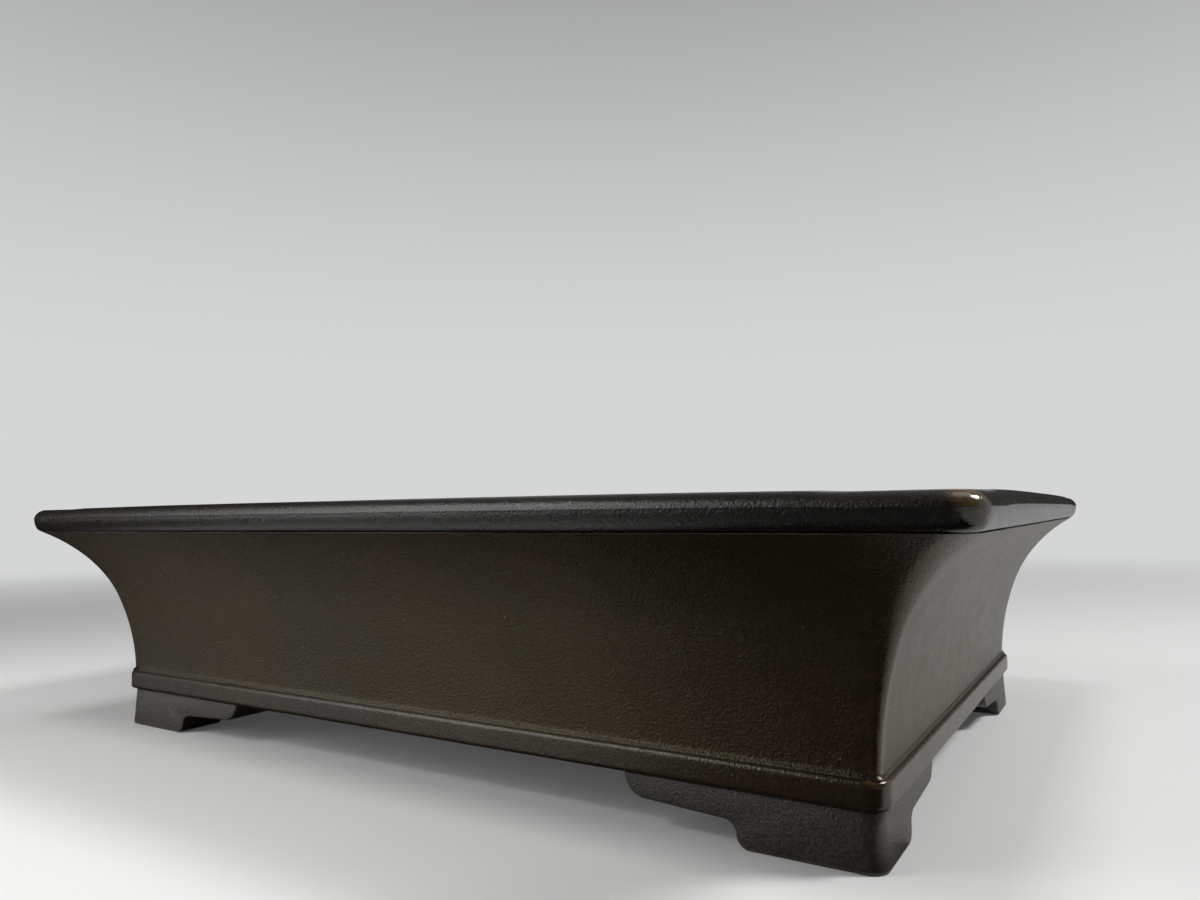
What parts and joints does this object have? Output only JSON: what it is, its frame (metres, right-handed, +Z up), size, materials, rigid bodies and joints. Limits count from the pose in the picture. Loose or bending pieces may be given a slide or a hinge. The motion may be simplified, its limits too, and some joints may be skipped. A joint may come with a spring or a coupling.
{
  "type": "bonsai pot",
  "caption": "Rectangular unglazed stoneware bonsai pot with flared walls, a rounded rim, a base band and cloud-shaped corner feet, holding a tree in shallow draining soil.",
  "frame": {"origin": "on the ground under the middle of the pot", "axes": "+X along the pot's length to its right, front towards -Y, +Z up"},
  "size_m": [0.45, 0.33, 0.11],
  "materials": {
    "stoneware_wall": "unglazed satin, fine grain",
    "stoneware_rim": "unglazed, burnished satin",
    "stoneware_base": "unglazed matt, bare clay"
  },
  "bodies": {
    "root": {"floor_slab": "stoneware_base", "wall_front": "stoneware_wall", "wall_back": "stoneware_wall", "wall_left": "stoneware_wall", "wall_right": "stoneware_wall", "rim_front": "stoneware_rim", "rim_back": "stoneware_rim", "rim_left": "stoneware_rim", "rim_right": "stoneware_rim", "band_front": "stoneware_wall", "band_back": "stoneware_wall", "band_left": "stoneware_wall", "band_right": "stoneware_wall", "foot_front_left": "stoneware_base", "foot_front_right": "stoneware_base", "foot_back_left": "stoneware_base", "foot_back_right": "stoneware_base", "floor_seam_front": "stoneware_base", "floor_seam_back": "stoneware_base", "floor_seam_left": "stoneware_base", "floor_seam_right": "stoneware_base", "corner_seam_front_left": "stoneware_base", "corner_seam_front_right": "stoneware_base", "corner_seam_back_left": "stoneware_base", "corner_seam_back_right": "stoneware_base"}
  },
  "joints": []
}
